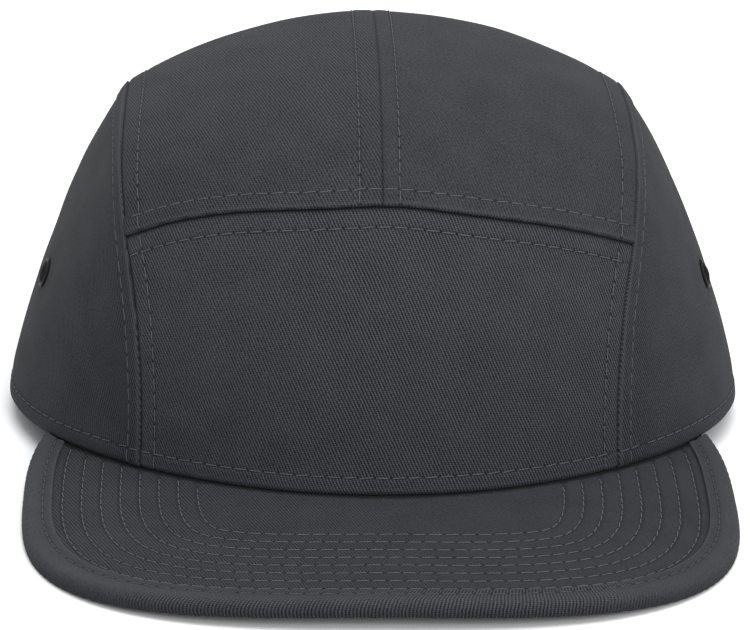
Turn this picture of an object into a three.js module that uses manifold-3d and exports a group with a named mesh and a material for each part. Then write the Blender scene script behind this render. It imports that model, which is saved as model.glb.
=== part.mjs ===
// Five panel cap: one low front panel, two top panels that meet in a seam over the head, and a
// D shaped side panel on each side, on a flat visor with a bound edge.
// The cap is drawn with its lower edge in the plane z = 0, X to the wearer's left, the visor towards -Y,
// and is then tipped until it rests on the visor and the back of its edge, as it does on a table.
import * as THREE from "three";
import { mergeVertices } from "three/addons/utils/BufferGeometryUtils.js";
import Module from "manifold-3d";

const wasm = await Module();
wasm.setup();

// Crown, millimetres
const RIM_HALF_WIDTH = 94.4;
const RIM_FRONT_ROUNDNESS = 1.87;
const RIM_BACK_ROUNDNESS = 2;
const RIM_FRONT_LENGTH = 95.6;
const RIM_BACK_LENGTH = 95;
const CROWN_HEIGHT = 96.2;
const TOP_HALF_WIDTH = 64.5;
const PANEL_CLOTH = 1.6;
const SEAM_GAP = 0.3;
const SIDE_BOW = 1.42;
const SIDE_TURN_SHARE = 0.1;
const SIDE_TURN_POWER = 9;

// Opening at the back, half its width at the lower edge and its height
const OPENING_HALF_WIDTH = 40;
const OPENING_HEIGHT = 46;

// Band inside the lower edge
const BAND_CLOTH = 1.4;
const BAND_GAP = 0.3;
const BAND_LOW = 0.8;
const BAND_HIGH = 30;
const BAND_END_SHARE = 0.83;

// Visor
const VISOR_HALF_WIDTH = 88.3;
const VISOR_CENTRE = -80;
const VISOR_REACH = 82.4;
const VISOR_SQUARENESS = 2.9;
const VISOR_SLOPE = 5.5;
const VISOR_THICKNESS = 2.8;
const VISOR_SEAT_GAP = 0.3;

// Bound edge of the visor
const BINDING_WIDTH = 7.3;
const BINDING_CLOTH = 0.65;
const BINDING_GAP = 0.25;
const BINDING_ROLL = 1.6;
const BINDING_END_GAP = 0.5;

// Vent eyelets, one on each side panel
const EYELET_RADIUS = 3.9;
const EYELET_RISE = 1.3;
const EYELET_GAP = 0.35;
const EYELET_BACK = -15;
const EYELET_HEIGHT = 35.5;

// Strap and clasp across the opening
const STRAP_CLOTH = 1.3;
const STRAP_LOW = 4;
const STRAP_HIGH = 25;
const STRAP_TUCK_SHARE = 0.8;
const STRAP_END_SHARE = 0.12;
const CLASP_HALF_SHARE = 0.27;
const CLASP_LIP = 2.2;
const CLASP_WALL = 1.4;
const CLASP_CLEARANCE = 0.3;

// How deep the lowest cloth is flattened where it stands
const REST_FLAT = 0.3;

// Cross sections of the crown from the front edge over the top to the back edge.
// midY and seamY are shares of the rim's front or back length, midZ and seamZ of the crown's height,
// seamX of the top's half width; round says how much of a circle the section between the seams is.
const SECTIONS = [
  { midY: -1.0, midZ: 0.0, seamX: 0.925, seamY: null, seamZ: 0.0, round: 0.45 },
  { midY: -0.985, midZ: 0.25, seamX: 0.922, seamY: -0.741, seamZ: 0.205, round: 0.64 },
  { midY: -0.955, midZ: 0.5, seamX: 0.94, seamY: -0.72, seamZ: 0.405, round: 0.65 },
  { midY: -0.89, midZ: 0.727, seamX: 0.977, seamY: -0.65, seamZ: 0.585, round: 0.62 },
  { midY: -0.74, midZ: 0.88, seamX: 1.0, seamY: -0.525, seamZ: 0.732, round: 0.55 },
  { midY: -0.42, midZ: 0.972, seamX: 1.0, seamY: -0.3, seamZ: 0.806, round: 0.48 },
  { midY: 0.0, midZ: 1.0, seamX: 0.995, seamY: -0.01, seamZ: 0.824, round: 0.45 },
  { midY: 0.42, midZ: 0.965, seamX: 0.99, seamY: 0.3, seamZ: 0.79, round: 0.48 },
  { midY: 0.74, midZ: 0.83, seamX: 0.975, seamY: 0.54, seamZ: 0.667, round: 0.55 },
  { midY: 0.91, midZ: 0.58, seamX: 0.945, seamY: 0.69, seamZ: 0.45, round: 0.6 },
  { midY: 0.975, midZ: 0.29, seamX: 0.905, seamY: 0.77, seamZ: 0.22, round: 0.6 },
  { midY: 1.0, midZ: 0.0, seamX: 0.86, seamY: null, seamZ: 0.0, round: 0.585 },
];
const FRONT_SEAM = 3;
const LAST_SECTION = SECTIONS.length - 1;

const mix = (a, b, t) => a + (b - a) * t;
const steps = (count) => Array.from({ length: count + 1 }, (_, i) => i / count);
const radians = (degrees) => (degrees * Math.PI) / 180;

// Lower edge of the crown
function rimLength(y) {
  return y < 0 ? RIM_FRONT_LENGTH : RIM_BACK_LENGTH;
}

// The share across of the lower edge that goes with a share ahead; with a roundness of 2 it is an ellipse
function rimShare(share, ahead) {
  const roundness = ahead < 0 ? RIM_FRONT_ROUNDNESS : RIM_BACK_ROUNDNESS;
  return (1 - Math.min(1, Math.abs(share)) ** roundness) ** (1 / roundness);
}

function rimX(y) {
  return RIM_HALF_WIDTH * rimShare(y / rimLength(y), y);
}

function rimFrontY(x, grow = 0) {
  return -(RIM_FRONT_LENGTH + grow) * rimShare(x / (RIM_HALF_WIDTH + grow), -1);
}

const stations = SECTIONS.map((row) => {
  const seamX = row.seamX * TOP_HALF_WIDTH;
  const length = rimLength(row.midY);
  const onRim = Math.sign(row.midY) * length * rimShare(seamX / RIM_HALF_WIDTH, row.midY);
  return {
    midY: row.midY * length,
    midZ: row.midZ * CROWN_HEIGHT,
    seamX,
    seamY: row.seamY === null ? onRim : row.seamY * rimLength(row.seamY),
    seamZ: row.seamZ * CROWN_HEIGHT,
    round: row.round,
  };
});

// One value of the sections at s, on a smooth curve through the table
function along(name, s) {
  const i = Math.min(LAST_SECTION - 1, Math.max(0, Math.floor(s)));
  const t = s - i;
  const b = stations[i][name];
  const c = stations[i + 1][name];
  const a = i > 0 ? stations[i - 1][name] : 2 * b - c;
  const d = i + 2 <= LAST_SECTION ? stations[i + 2][name] : 2 * c - b;
  const slope = (c - a) * t;
  const bend = (2 * a - 5 * b + 4 * c - d) * t * t;
  const twist = (3 * b - a - 3 * c + d) * t * t * t;
  return (2 * b + slope + bend + twist) / 2;
}

// Point of the strip between the two side seams: s from front to back, w from -1 to 1 across
function strip(s, w) {
  const k = along("round", s);
  const share = (1 - Math.sqrt(1 - (k * w) ** 2)) / (1 - Math.sqrt(1 - k * k));
  const midY = along("midY", s);
  const midZ = along("midZ", s);
  return [along("seamX", s) * w, mix(midY, along("seamY", s), share), mix(midZ, along("seamZ", s), share)];
}

// The value between low and high at which a rising function reaches zero
function solve(rising, low, high) {
  let a = low;
  let b = high;
  for (let i = 0; i < 40; i += 1) {
    const middle = (a + b) / 2;
    if (rising(middle) < 0) a = middle;
    else b = middle;
  }
  return (a + b) / 2;
}

const TOP_OF_FRONT = 5;
const TOP_OF_BACK = 7;
const frontAtHeight = (w, z) => solve((s) => strip(s, w)[2] - z, 0, TOP_OF_FRONT);
const backAtHeight = (w, z) => solve((s) => z - strip(s, w)[2], TOP_OF_BACK, LAST_SECTION);

// Half width of a side panel at y and z, bowed between the rim and the seam above it
function sideX(y, z) {
  const s = solve((value) => along("seamY", value) - y, 0, LAST_SECTION);
  const top = Math.max(along("seamZ", s), 1e-3);
  const v = Math.min(1, Math.max(0, z / top));
  const bow = (1 - SIDE_TURN_SHARE) * v ** SIDE_BOW + SIDE_TURN_SHARE * v ** SIDE_TURN_POWER;
  return mix(rimX(y), along("seamX", s), bow);
}

// Direction that the cloth's thickness is laid in; level along the lower edge
function outward([x, y, z]) {
  const n = [x / RIM_HALF_WIDTH ** 2, y / rimLength(y) ** 2, z / CROWN_HEIGHT ** 2];
  const length = Math.hypot(...n);
  return n.map((value) => value / length);
}

function sunk(point, depth) {
  const n = outward(point);
  return point.map((value, i) => value - n[i] * depth);
}

// Closed body between two grids of points of the same layout
function bodyBetween(outer, inner) {
  const points = [];
  const index = new Map();
  const triangles = [];
  const vertex = (p) => {
    const key = p.map((value) => Math.round(value * 1e4)).join(",");
    if (!index.has(key)) {
      index.set(key, points.length / 3);
      points.push(...p);
    }
    return index.get(key);
  };
  const triangle = (a, b, c) => {
    const [i, j, k] = [vertex(a), vertex(b), vertex(c)];
    if (i !== j && j !== k && i !== k) triangles.push(i, j, k);
  };
  const quad = (a, b, c, d) => {
    triangle(a, b, c);
    triangle(a, c, d);
  };
  const last = outer.length - 1;
  const end = outer[0].length - 1;
  for (let i = 0; i < last; i += 1) {
    for (let j = 0; j < end; j += 1) {
      quad(outer[i][j], outer[i + 1][j], outer[i + 1][j + 1], outer[i][j + 1]);
      quad(inner[i][j + 1], inner[i + 1][j + 1], inner[i + 1][j], inner[i][j]);
    }
    quad(inner[i][0], inner[i + 1][0], outer[i + 1][0], outer[i][0]);
    quad(outer[i][end], outer[i + 1][end], inner[i + 1][end], inner[i][end]);
  }
  for (let j = 0; j < end; j += 1) {
    quad(outer[0][j], outer[0][j + 1], inner[0][j + 1], inner[0][j]);
    quad(inner[last][j], inner[last][j + 1], outer[last][j + 1], outer[last][j]);
  }
  return closed(points, triangles);
}

// Solid from points and triangles, turned the right way out
function closed(points, triangles) {
  let volume = 0;
  for (let t = 0; t < triangles.length; t += 3) {
    const [a, b, c] = [0, 1, 2].map((k) => {
      const at = triangles[t + k] * 3;
      return new THREE.Vector3(points[at], points[at + 1], points[at + 2]);
    });
    volume += a.dot(b.cross(c));
  }
  const faces = volume < 0 ? triangles.slice().reverse() : triangles;
  const mesh = new wasm.Mesh({
    numProp: 3,
    vertProperties: new Float32Array(points),
    triVerts: new Uint32Array(faces),
  });
  return new wasm.Manifold(mesh);
}

// Cloth of a panel: the outer grid and the same grid one cloth's thickness further in
function clothBody(grid, thickness, depth = 0) {
  const outer = grid.map((row) => row.map((p) => sunk(p, depth)));
  const inner = grid.map((row) => row.map((p) => sunk(p, depth + thickness)));
  return bodyBetween(outer, inner);
}

const HALF_GAP = SEAM_GAP / 2;
const edgeShare = HALF_GAP / TOP_HALF_WIDTH;
const SECTION_PITCH = 23;
const sectionGap = HALF_GAP / SECTION_PITCH;

// Front panel
const FRONT_COLUMNS = 18;
const FRONT_ROWS = 9;
const frontGrid = steps(FRONT_ROWS).map((v) =>
  steps(FRONT_COLUMNS).map((u) => {
    return strip(v * (FRONT_SEAM - sectionGap), mix(-1 + edgeShare, 1 - edgeShare, u));
  }),
);
const frontPanel = clothBody(frontGrid, PANEL_CLOTH);

// Top panels, which end at the arched opening and beside it at the lower edge
const TOP_ROWS = 24;
const ARCH_COLUMNS = 8;
const FOOT_COLUMNS = 3;
const openingShare = OPENING_HALF_WIDTH / along("seamX", LAST_SECTION);

function openingEdge(w) {
  if (w >= openingShare) return LAST_SECTION;
  const clearance = (s) => {
    const [x, , z] = strip(s, w);
    const across = Math.min(1, Math.abs(x) / OPENING_HALF_WIDTH);
    return OPENING_HEIGHT * Math.sqrt(1 - across * across) - z;
  };
  return solve(clearance, TOP_OF_BACK, LAST_SECTION);
}

const topShares = [
  ...steps(ARCH_COLUMNS).map((t) => mix(edgeShare, openingShare, Math.sin((t * Math.PI) / 2))),
  ...steps(FOOT_COLUMNS).slice(1).map((t) => mix(openingShare, 1 - edgeShare, t)),
];
const topGrid = (side) =>
  topShares.map((w) =>
    steps(TOP_ROWS).map((v) => {
      const [x, y, z] = strip(mix(FRONT_SEAM + sectionGap, openingEdge(w), v), w);
      return [side * x, y, z];
    }),
  );
const topPanel = (side) => clothBody(topGrid(side), PANEL_CLOTH);

// Side panels, in ribs from the rim to the seam
const SIDE_COLUMNS = 26;
const SIDE_ROWS = 9;

// Place on the seam's side view at s, moved inwards by inset
function insideSeam(s, inset) {
  const step = 0.02;
  const before = Math.max(0, s - step);
  const after = Math.min(LAST_SECTION, s + step);
  const dy = along("seamY", after) - along("seamY", before);
  const dz = along("seamZ", after) - along("seamZ", before);
  const length = Math.hypot(dy, dz);
  const y = along("seamY", s) + (dz / length) * inset;
  const z = along("seamZ", s) - (dy / length) * inset;
  return [y, Math.max(0, z)];
}

function sideGrid(side) {
  const [yFront] = insideSeam(0, HALF_GAP);
  const [yBack] = insideSeam(LAST_SECTION, HALF_GAP);
  return steps(SIDE_COLUMNS).map((t) => {
    const [ySeam, zSeam] = insideSeam(t * LAST_SECTION, HALF_GAP);
    const atEnd = t === 0 || t === 1;
    const yRim = mix(yFront, yBack, t * t * (3 - 2 * t));
    return steps(SIDE_ROWS).map((v) => {
      const y = atEnd ? mix(yFront, yBack, t) : mix(yRim, ySeam, v);
      const z = atEnd ? 0 : zSeam * v;
      return [side * sideX(y, z), y, z];
    });
  });
}
const sidePanel = (side) => clothBody(sideGrid(side), PANEL_CLOTH);

// Ring round the crown at height z: turns 0 to 1 over the front, to 2 along a side, to 3 to the middle back
function ring(turn, z, side) {
  if (turn <= 1) {
    const [x, y] = strip(frontAtHeight(turn, z), turn);
    return [side * x, y, z];
  }
  if (turn <= 2) {
    const yFront = along("seamY", frontAtHeight(1, z));
    const yBack = along("seamY", backAtHeight(1, z));
    const y = mix(yFront, yBack, turn - 1);
    return [side * sideX(y, z), y, z];
  }
  const w = 3 - turn;
  const [x, y] = strip(backAtHeight(w, z), w);
  return [side * x, y, z];
}

// Sweatband, from one side of the opening round the front to the other
const BAND_ROWS = 3;
const BAND_FRONT_STEPS = 10;
const BAND_SIDE_STEPS = 16;
const bandTurns = [
  ...steps(BAND_FRONT_STEPS),
  ...steps(BAND_SIDE_STEPS).slice(1).map((t) => 1 + t),
  3 - BAND_END_SHARE,
];
const bandColumns = [
  ...bandTurns.slice(1).reverse().map((turn) => [turn, -1]),
  ...bandTurns.map((turn) => [turn, 1]),
];
const bandGrid = bandColumns.map(([turn, side]) =>
  steps(BAND_ROWS).map((v) => ring(turn, mix(BAND_LOW, BAND_HIGH, v), side)),
);
const sweatband = clothBody(bandGrid, BAND_CLOTH, PANEL_CLOTH + BAND_GAP);

// Curved block on the back of the crown, between two shares of its width, two heights and two depths
const BLOCK_COLUMNS = 8;
function backBlock(from, to, low, high, outerDepth, innerDepth) {
  const grid = steps(BLOCK_COLUMNS).map((t) => {
    const w = mix(from, to, t);
    return steps(2).map((v) => ring(3 - Math.abs(w), mix(low, high, v), Math.sign(w) || 1));
  });
  return clothBody(grid, innerDepth - outerDepth, outerDepth);
}

// Straps, laid in the same layer as the band and tucked behind the edges of the opening
const STRAP_DEPTH = PANEL_CLOTH + BAND_GAP;
const strap = (side) => backBlock(
  side * STRAP_END_SHARE,
  side * STRAP_TUCK_SHARE,
  STRAP_LOW,
  STRAP_HIGH,
  STRAP_DEPTH,
  STRAP_DEPTH + STRAP_CLOTH,
);

// Clasp, which holds an end of each strap in a pocket
const claspBlock = backBlock(
  -CLASP_HALF_SHARE,
  CLASP_HALF_SHARE,
  STRAP_LOW - CLASP_LIP,
  STRAP_HIGH + CLASP_LIP,
  STRAP_DEPTH - CLASP_CLEARANCE - CLASP_WALL,
  STRAP_DEPTH + STRAP_CLOTH + CLASP_CLEARANCE + CLASP_WALL,
);
const POCKET_STOP = 0.015;
const POCKET_OVERRUN = 0.05;
const pocket = (side) => backBlock(
  side * (STRAP_END_SHARE - POCKET_STOP),
  side * (CLASP_HALF_SHARE + POCKET_OVERRUN),
  STRAP_LOW - CLASP_CLEARANCE,
  STRAP_HIGH + CLASP_CLEARANCE,
  STRAP_DEPTH - CLASP_CLEARANCE,
  STRAP_DEPTH + STRAP_CLOTH + CLASP_CLEARANCE,
);
const clasp = claspBlock.subtract(pocket(-1)).subtract(pocket(1));

// Visor: height of its upper face, which leaves the crown's edge and falls away in front of it
const slopeShare = Math.tan(radians(VISOR_SLOPE));
function visorZ(x, y) {
  return -VISOR_SEAT_GAP - slopeShare * Math.max(0, rimFrontY(x) - y);
}

// Outline of the visor in plan, inset from its edge, from the wearer's left round the front to the right
const OUTLINE_SAMPLES = 1600;
const OUTLINE_OVERRUN = 0.45;
function outline(inset, count, grow) {
  const power = 2 / VISOR_SQUARENESS;
  const curve = steps(OUTLINE_SAMPLES).map((t) => {
    const turn = mix(-OUTLINE_OVERRUN, Math.PI + OUTLINE_OVERRUN, t);
    const across = Math.sign(Math.cos(turn)) * Math.abs(Math.cos(turn)) ** power;
    const ahead = Math.sign(Math.sin(turn)) * Math.abs(Math.sin(turn)) ** power;
    return [(VISOR_HALF_WIDTH - inset) * across, VISOR_CENTRE - (VISOR_REACH - inset) * ahead];
  });
  return evenly(curve.filter(([x, y]) => y < 0 && y < rimFrontY(x, grow)), count);
}

// The same curve in equal steps
function evenly(curve, count) {
  const run = [0];
  for (let i = 1; i < curve.length; i += 1) {
    run.push(run[i - 1] + Math.hypot(curve[i][0] - curve[i - 1][0], curve[i][1] - curve[i - 1][1]));
  }
  const total = run[run.length - 1];
  return steps(count).map((t) => {
    const goal = t * total;
    const at = Math.min(run.length - 2, Math.max(0, run.findIndex((value) => value >= goal) - 1));
    const share = (goal - run[at]) / (run[at + 1] - run[at]);
    return [mix(curve[at][0], curve[at + 1][0], share), mix(curve[at][1], curve[at + 1][1], share)];
  });
}

const VISOR_COLUMNS = 48;
const VISOR_ROWS = 6;
const BODY_INSET = BINDING_CLOTH + BINDING_GAP;
const bodyEdge = outline(BODY_INSET, VISOR_COLUMNS, 0);
const rootHalf = bodyEdge[0][0] - PANEL_CLOTH;
const rootEdge = evenly(
  steps(OUTLINE_SAMPLES).map((t) => {
    const x = mix(rootHalf, -rootHalf, t);
    return [x, rimFrontY(x, -PANEL_CLOTH)];
  }),
  VISOR_COLUMNS,
);
const visorFace = (lower) =>
  rootEdge.map((root, i) =>
    steps(VISOR_ROWS).map((v) => {
      const x = mix(root[0], bodyEdge[i][0], v);
      const y = mix(root[1], bodyEdge[i][1], v);
      return [x, y, visorZ(x, y) - lower];
    }),
  );
const visor = bodyBetween(visorFace(0), visorFace(VISOR_THICKNESS));

// Binding: a strip folded over the visor's edge, drawn as its section swept along the outline
const BINDING_COLUMNS = 56;
const bindingTop = BINDING_GAP + BINDING_CLOTH;
const bindingBottom = -VISOR_THICKNESS - bindingTop;
const bindingMiddle = (bindingTop + bindingBottom) / 2;
const ROLL_SHOULDER = 0.3;
const section = [
  { inset: BINDING_WIDTH, rise: BINDING_GAP },
  { inset: BINDING_WIDTH, rise: bindingTop },
  { inset: (BINDING_WIDTH + BINDING_ROLL) / 2, rise: bindingTop },
  { inset: BINDING_ROLL, rise: bindingTop },
  { inset: BINDING_ROLL * ROLL_SHOULDER, rise: mix(bindingTop, bindingMiddle, ROLL_SHOULDER) },
  { inset: 0, rise: bindingMiddle },
  { inset: BINDING_ROLL * ROLL_SHOULDER, rise: mix(bindingBottom, bindingMiddle, ROLL_SHOULDER) },
  { inset: BINDING_ROLL, rise: bindingBottom },
  { inset: (BINDING_WIDTH + BINDING_ROLL) / 2, rise: bindingBottom },
  { inset: BINDING_WIDTH, rise: bindingBottom },
];
const lining = [
  { inset: BINDING_WIDTH, rise: BINDING_GAP },
  { inset: BINDING_WIDTH, rise: BINDING_GAP },
  { inset: (BINDING_WIDTH + BINDING_ROLL) / 2, rise: BINDING_GAP },
  { inset: BINDING_ROLL, rise: BINDING_GAP },
  { inset: BINDING_CLOTH, rise: BINDING_GAP },
  { inset: BINDING_CLOTH, rise: bindingMiddle },
  { inset: BINDING_CLOTH, rise: -VISOR_THICKNESS - BINDING_GAP },
  { inset: BINDING_ROLL, rise: -VISOR_THICKNESS - BINDING_GAP },
  { inset: (BINDING_WIDTH + BINDING_ROLL) / 2, rise: -VISOR_THICKNESS - BINDING_GAP },
  { inset: BINDING_WIDTH, rise: -VISOR_THICKNESS - BINDING_GAP },
];
const swept = (corners) =>
  corners.map(({ inset, rise }) =>
    outline(inset, BINDING_COLUMNS, BINDING_END_GAP).map(([x, y]) => [x, y, visorZ(x, y) + rise]),
  );
const binding = bodyBetween(swept(section), swept(lining));

// Eyelet: a rolled rim round a domed screen, turned about the normal of the side panel
const EYELET_SEGMENTS = 20;
const eyeletProfile = [
  { out: 0, up: 0 },
  { out: 1, up: 0 },
  { out: 1.02, up: 0.22 },
  { out: 0.94, up: 0.45 },
  { out: 0.8, up: 0.48 },
  { out: 0.7, up: 0.38 },
  { out: 0.5, up: 0.78 },
  { out: 0.25, up: 0.95 },
  { out: 0, up: 1 },
];
function eyelet(side) {
  const nudge = 0.5;
  const at = new THREE.Vector3(sideX(EYELET_BACK, EYELET_HEIGHT), EYELET_BACK, EYELET_HEIGHT);
  const slopeY = (sideX(EYELET_BACK + nudge, EYELET_HEIGHT) - at.x) / nudge;
  const slopeZ = (sideX(EYELET_BACK, EYELET_HEIGHT + nudge) - at.x) / nudge;
  const normal = new THREE.Vector3(1, -slopeY, -slopeZ).normalize();
  const level = new THREE.Vector3(0, 1, 0).cross(normal).normalize();
  const upright = normal.clone().cross(level);
  const rows = eyeletProfile.map(({ out, up }) =>
    steps(EYELET_SEGMENTS).map((t) => {
      const turn = t * 2 * Math.PI;
      const point = at.clone();
      point.addScaledVector(level, out * EYELET_RADIUS * Math.cos(turn));
      point.addScaledVector(upright, out * EYELET_RADIUS * Math.sin(turn));
      point.addScaledVector(normal, EYELET_GAP + up * EYELET_RISE);
      return [side * point.x, point.y, point.z];
    }),
  );
  return turned(rows);
}

// Closed body from rings of points whose first and last rings are single points
function turned(rows) {
  const points = [];
  const ringStart = [];
  const count = rows[0].length - 1;
  rows.forEach((row, i) => {
    ringStart.push(points.length / 3);
    const single = i === 0 || i === rows.length - 1;
    row.slice(0, single ? 1 : count).forEach((p) => points.push(...p));
  });
  const triangles = [];
  const at = (i, j) => ringStart[i] + (i === 0 || i === rows.length - 1 ? 0 : j % count);
  for (let i = 0; i < rows.length - 1; i += 1) {
    for (let j = 0; j < count; j += 1) {
      if (i > 0) triangles.push(at(i, j), at(i, j + 1), at(i + 1, j));
      if (i < rows.length - 2) triangles.push(at(i, j + 1), at(i + 1, j + 1), at(i + 1, j));
    }
  }
  return closed(points, triangles);
}

const solids = {
  front_panel: frontPanel,
  top_panel_left: topPanel(1),
  top_panel_right: topPanel(-1),
  side_panel_left: sidePanel(1),
  side_panel_right: sidePanel(-1),
  sweatband,
  visor,
  visor_binding: binding,
  eyelet_left: eyelet(1),
  eyelet_right: eyelet(-1),
  strap_left: strap(1),
  strap_right: strap(-1),
  clasp,
};

// Rest: the tip about X that brings the visor and the back feet level, and the shift that sets them on z = 0
function pointsOf(solid) {
  const { vertProperties } = solid.getMesh();
  const list = [];
  for (let i = 0; i < vertProperties.length; i += 3) {
    list.push([vertProperties[i], vertProperties[i + 1], vertProperties[i + 2]]);
  }
  return list;
}
const TIP_ROUNDS = 30;
const visorPoints = pointsOf(solids.visor_binding);
const backPoints = pointsOf(solids.top_panel_left);
let tip = 0;
for (let i = 0; i < TIP_ROUNDS; i += 1) {
  const height = ([, y, z]) => z * Math.cos(tip) - y * Math.sin(tip);
  const lowest = (list) => list.reduce((best, p) => (height(p) < height(best) ? p : best));
  const front = lowest(visorPoints);
  const back = lowest(backPoints);
  tip += (height(back) - height(front)) / (back[1] - front[1]);
}
const standing = new THREE.Matrix4().makeRotationX(-tip);
const reach = new THREE.Box3();
const spot = new THREE.Vector3();
Object.values(solids).forEach((solid) => {
  pointsOf(solid).forEach((p) => reach.expandByPoint(spot.fromArray(p).applyMatrix4(standing)));
});
const middle = reach.getCenter(new THREE.Vector3());
standing.setPosition(-middle.x, -middle.y, -reach.min.z - REST_FLAT);

// The surface that it stands on, which the lowest cloth is cut level with
const FLOOR_SIZE = 600;
const FLOOR_DEPTH = 20;
const slab = new THREE.BoxGeometry(FLOOR_SIZE, FLOOR_SIZE, FLOOR_DEPTH).translate(0, 0, -FLOOR_DEPTH / 2);
slab.applyMatrix4(standing.clone().invert());
slab.deleteAttribute("normal");
slab.deleteAttribute("uv");
const sharp = mergeVertices(slab);
const floor = closed(Array.from(sharp.attributes.position.array), Array.from(sharp.index.array));
const STANDING = new Set(["top_panel_left", "top_panel_right", "visor_binding"]);

// Colours and finish of the real materials
const FINISH = {
  twill: { color: 0x414246, roughness: 0.92, metalness: 0 },
  band_cloth: { color: 0x35363a, roughness: 0.95, metalness: 0 },
  webbing: { color: 0x3a3b3f, roughness: 0.85, metalness: 0 },
  black_metal: { color: 0x151517, roughness: 0.35, metalness: 0.8 },
  black_plastic: { color: 0x17181a, roughness: 0.45, metalness: 0 },
};
const MADE_OF = {
  sweatband: "band_cloth",
  eyelet_left: "black_metal",
  eyelet_right: "black_metal",
  strap_left: "webbing",
  strap_right: "webbing",
  clasp: "black_plastic",
};

const cap = new THREE.Group();
cap.name = "five_panel_cap";
cap.applyMatrix4(standing);
for (const [name, solid] of Object.entries(solids)) {
  const body = STANDING.has(name) ? solid.subtract(floor) : solid;
  const { vertProperties, triVerts } = body.getMesh();
  const geometry = new THREE.BufferGeometry();
  geometry.setAttribute("position", new THREE.BufferAttribute(new Float32Array(vertProperties), 3));
  geometry.setIndex(new THREE.BufferAttribute(new Uint32Array(triVerts), 1));
  geometry.computeVertexNormals();
  const mesh = new THREE.Mesh(geometry, new THREE.MeshStandardMaterial(FINISH[MADE_OF[name] ?? "twill"]));
  mesh.name = name;
  cap.add(mesh);
}

export default cap;
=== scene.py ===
# A five panel cap of charcoal cotton twill, standing by itself on a pale table.
# Sizes are millimetres in the cap's own frame: its lower edge is the plane z = 0, +X is the wearer's
# left and the visor points to -Y. stand() tips the cap as it rests and turns millimetres into metres.
import math

import bpy
import numpy as np
from mathutils import Matrix


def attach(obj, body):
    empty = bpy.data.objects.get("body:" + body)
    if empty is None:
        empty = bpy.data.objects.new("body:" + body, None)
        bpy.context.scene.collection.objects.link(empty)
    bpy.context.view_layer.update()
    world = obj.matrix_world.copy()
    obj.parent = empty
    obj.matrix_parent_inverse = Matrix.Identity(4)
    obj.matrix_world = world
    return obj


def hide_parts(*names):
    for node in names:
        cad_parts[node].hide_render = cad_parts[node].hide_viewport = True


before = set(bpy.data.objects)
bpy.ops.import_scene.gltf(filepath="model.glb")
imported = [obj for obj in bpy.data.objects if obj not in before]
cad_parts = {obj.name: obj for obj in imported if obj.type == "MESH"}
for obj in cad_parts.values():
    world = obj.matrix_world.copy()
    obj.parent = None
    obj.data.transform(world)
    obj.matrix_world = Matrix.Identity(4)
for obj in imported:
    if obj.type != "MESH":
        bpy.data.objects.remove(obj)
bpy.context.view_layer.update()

# Front panel
# The low panel over the forehead, one layer of charcoal cotton twill. Its edges are turned under and
# held by topstitching beside each seam. The crown's surface is set out here, as every panel lies on it.
RIM_HALF_WIDTH = 94.4
RIM_FRONT_ROUNDNESS = 1.87
RIM_BACK_ROUNDNESS = 2.0
RIM_FRONT = 95.6
RIM_BACK = 95.0
CROWN_HEIGHT = 96.2
TOP_HALF_WIDTH = 64.5
SIDE_BOW = 1.42
SIDE_TURN_SHARE = 0.1
SIDE_TURN_POWER = 9
PANEL_CLOTH = 1.6
FRONT_SEAM = 3
TOP_OF_FRONT = 5
TOP_OF_BACK = 7
SECTION_COLUMNS = ("mid_y", "mid_z", "seam_x", "seam_y", "seam_z", "round")
SECTIONS = (
    (-1.0, 0.0, 0.925, None, 0.0, 0.45),
    (-0.985, 0.25, 0.922, -0.741, 0.205, 0.64),
    (-0.955, 0.5, 0.94, -0.72, 0.405, 0.65),
    (-0.89, 0.727, 0.977, -0.65, 0.585, 0.62),
    (-0.74, 0.88, 1.0, -0.525, 0.732, 0.55),
    (-0.42, 0.972, 1.0, -0.3, 0.806, 0.48),
    (0.0, 1.0, 0.995, -0.01, 0.824, 0.45),
    (0.42, 0.965, 0.99, 0.3, 0.79, 0.48),
    (0.74, 0.83, 0.975, 0.54, 0.667, 0.55),
    (0.91, 0.58, 0.945, 0.69, 0.45, 0.6),
    (0.975, 0.29, 0.905, 0.77, 0.22, 0.6),
    (1.0, 0.0, 0.86, None, 0.0, 0.585),
)
LAST_SECTION = len(SECTIONS) - 1


def rim_length(y):
    return np.where(np.asarray(y) < 0, RIM_FRONT, RIM_BACK)


def rim_share(share, ahead):
    """The share across of the lower edge that goes with a share ahead; roundness 2 is an ellipse."""
    roundness = np.where(np.asarray(ahead) < 0, RIM_FRONT_ROUNDNESS, RIM_BACK_ROUNDNESS)
    return (1 - np.minimum(1, np.abs(share)) ** roundness) ** (1 / roundness)


def rim_x(y):
    return RIM_HALF_WIDTH * rim_share(y / rim_length(y), y)


def station(row):
    """A row of the table in millimetres."""
    mid_y, mid_z, seam_x, seam_y, seam_z, round_share = row
    x = seam_x * TOP_HALF_WIDTH
    length = float(rim_length(mid_y))
    if seam_y is None:
        y = math.copysign(length, mid_y) * float(rim_share(x / RIM_HALF_WIDTH, mid_y))
    else:
        y = seam_y * float(rim_length(seam_y))
    return (mid_y * length, mid_z * CROWN_HEIGHT, x, y, seam_z * CROWN_HEIGHT, round_share)


stations = dict(zip(SECTION_COLUMNS, np.array([station(row) for row in SECTIONS]).T))


def along(name, s):
    """One column of the table at s, on a smooth curve through its rows."""
    values = stations[name]
    ends = [2 * values[0] - values[1]], [2 * values[-1] - values[-2]]
    padded = np.concatenate([ends[0], values, ends[1]])
    s = np.asarray(s, float)
    i = np.clip(np.floor(s).astype(int), 0, LAST_SECTION - 1)
    t = s - i
    a, b, c, d = (padded[i + k] for k in range(4))
    return (2 * b + (c - a) * t + (2 * a - 5 * b + 4 * c - d) * t**2 + (3 * b - a - 3 * c + d) * t**3) / 2


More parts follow.
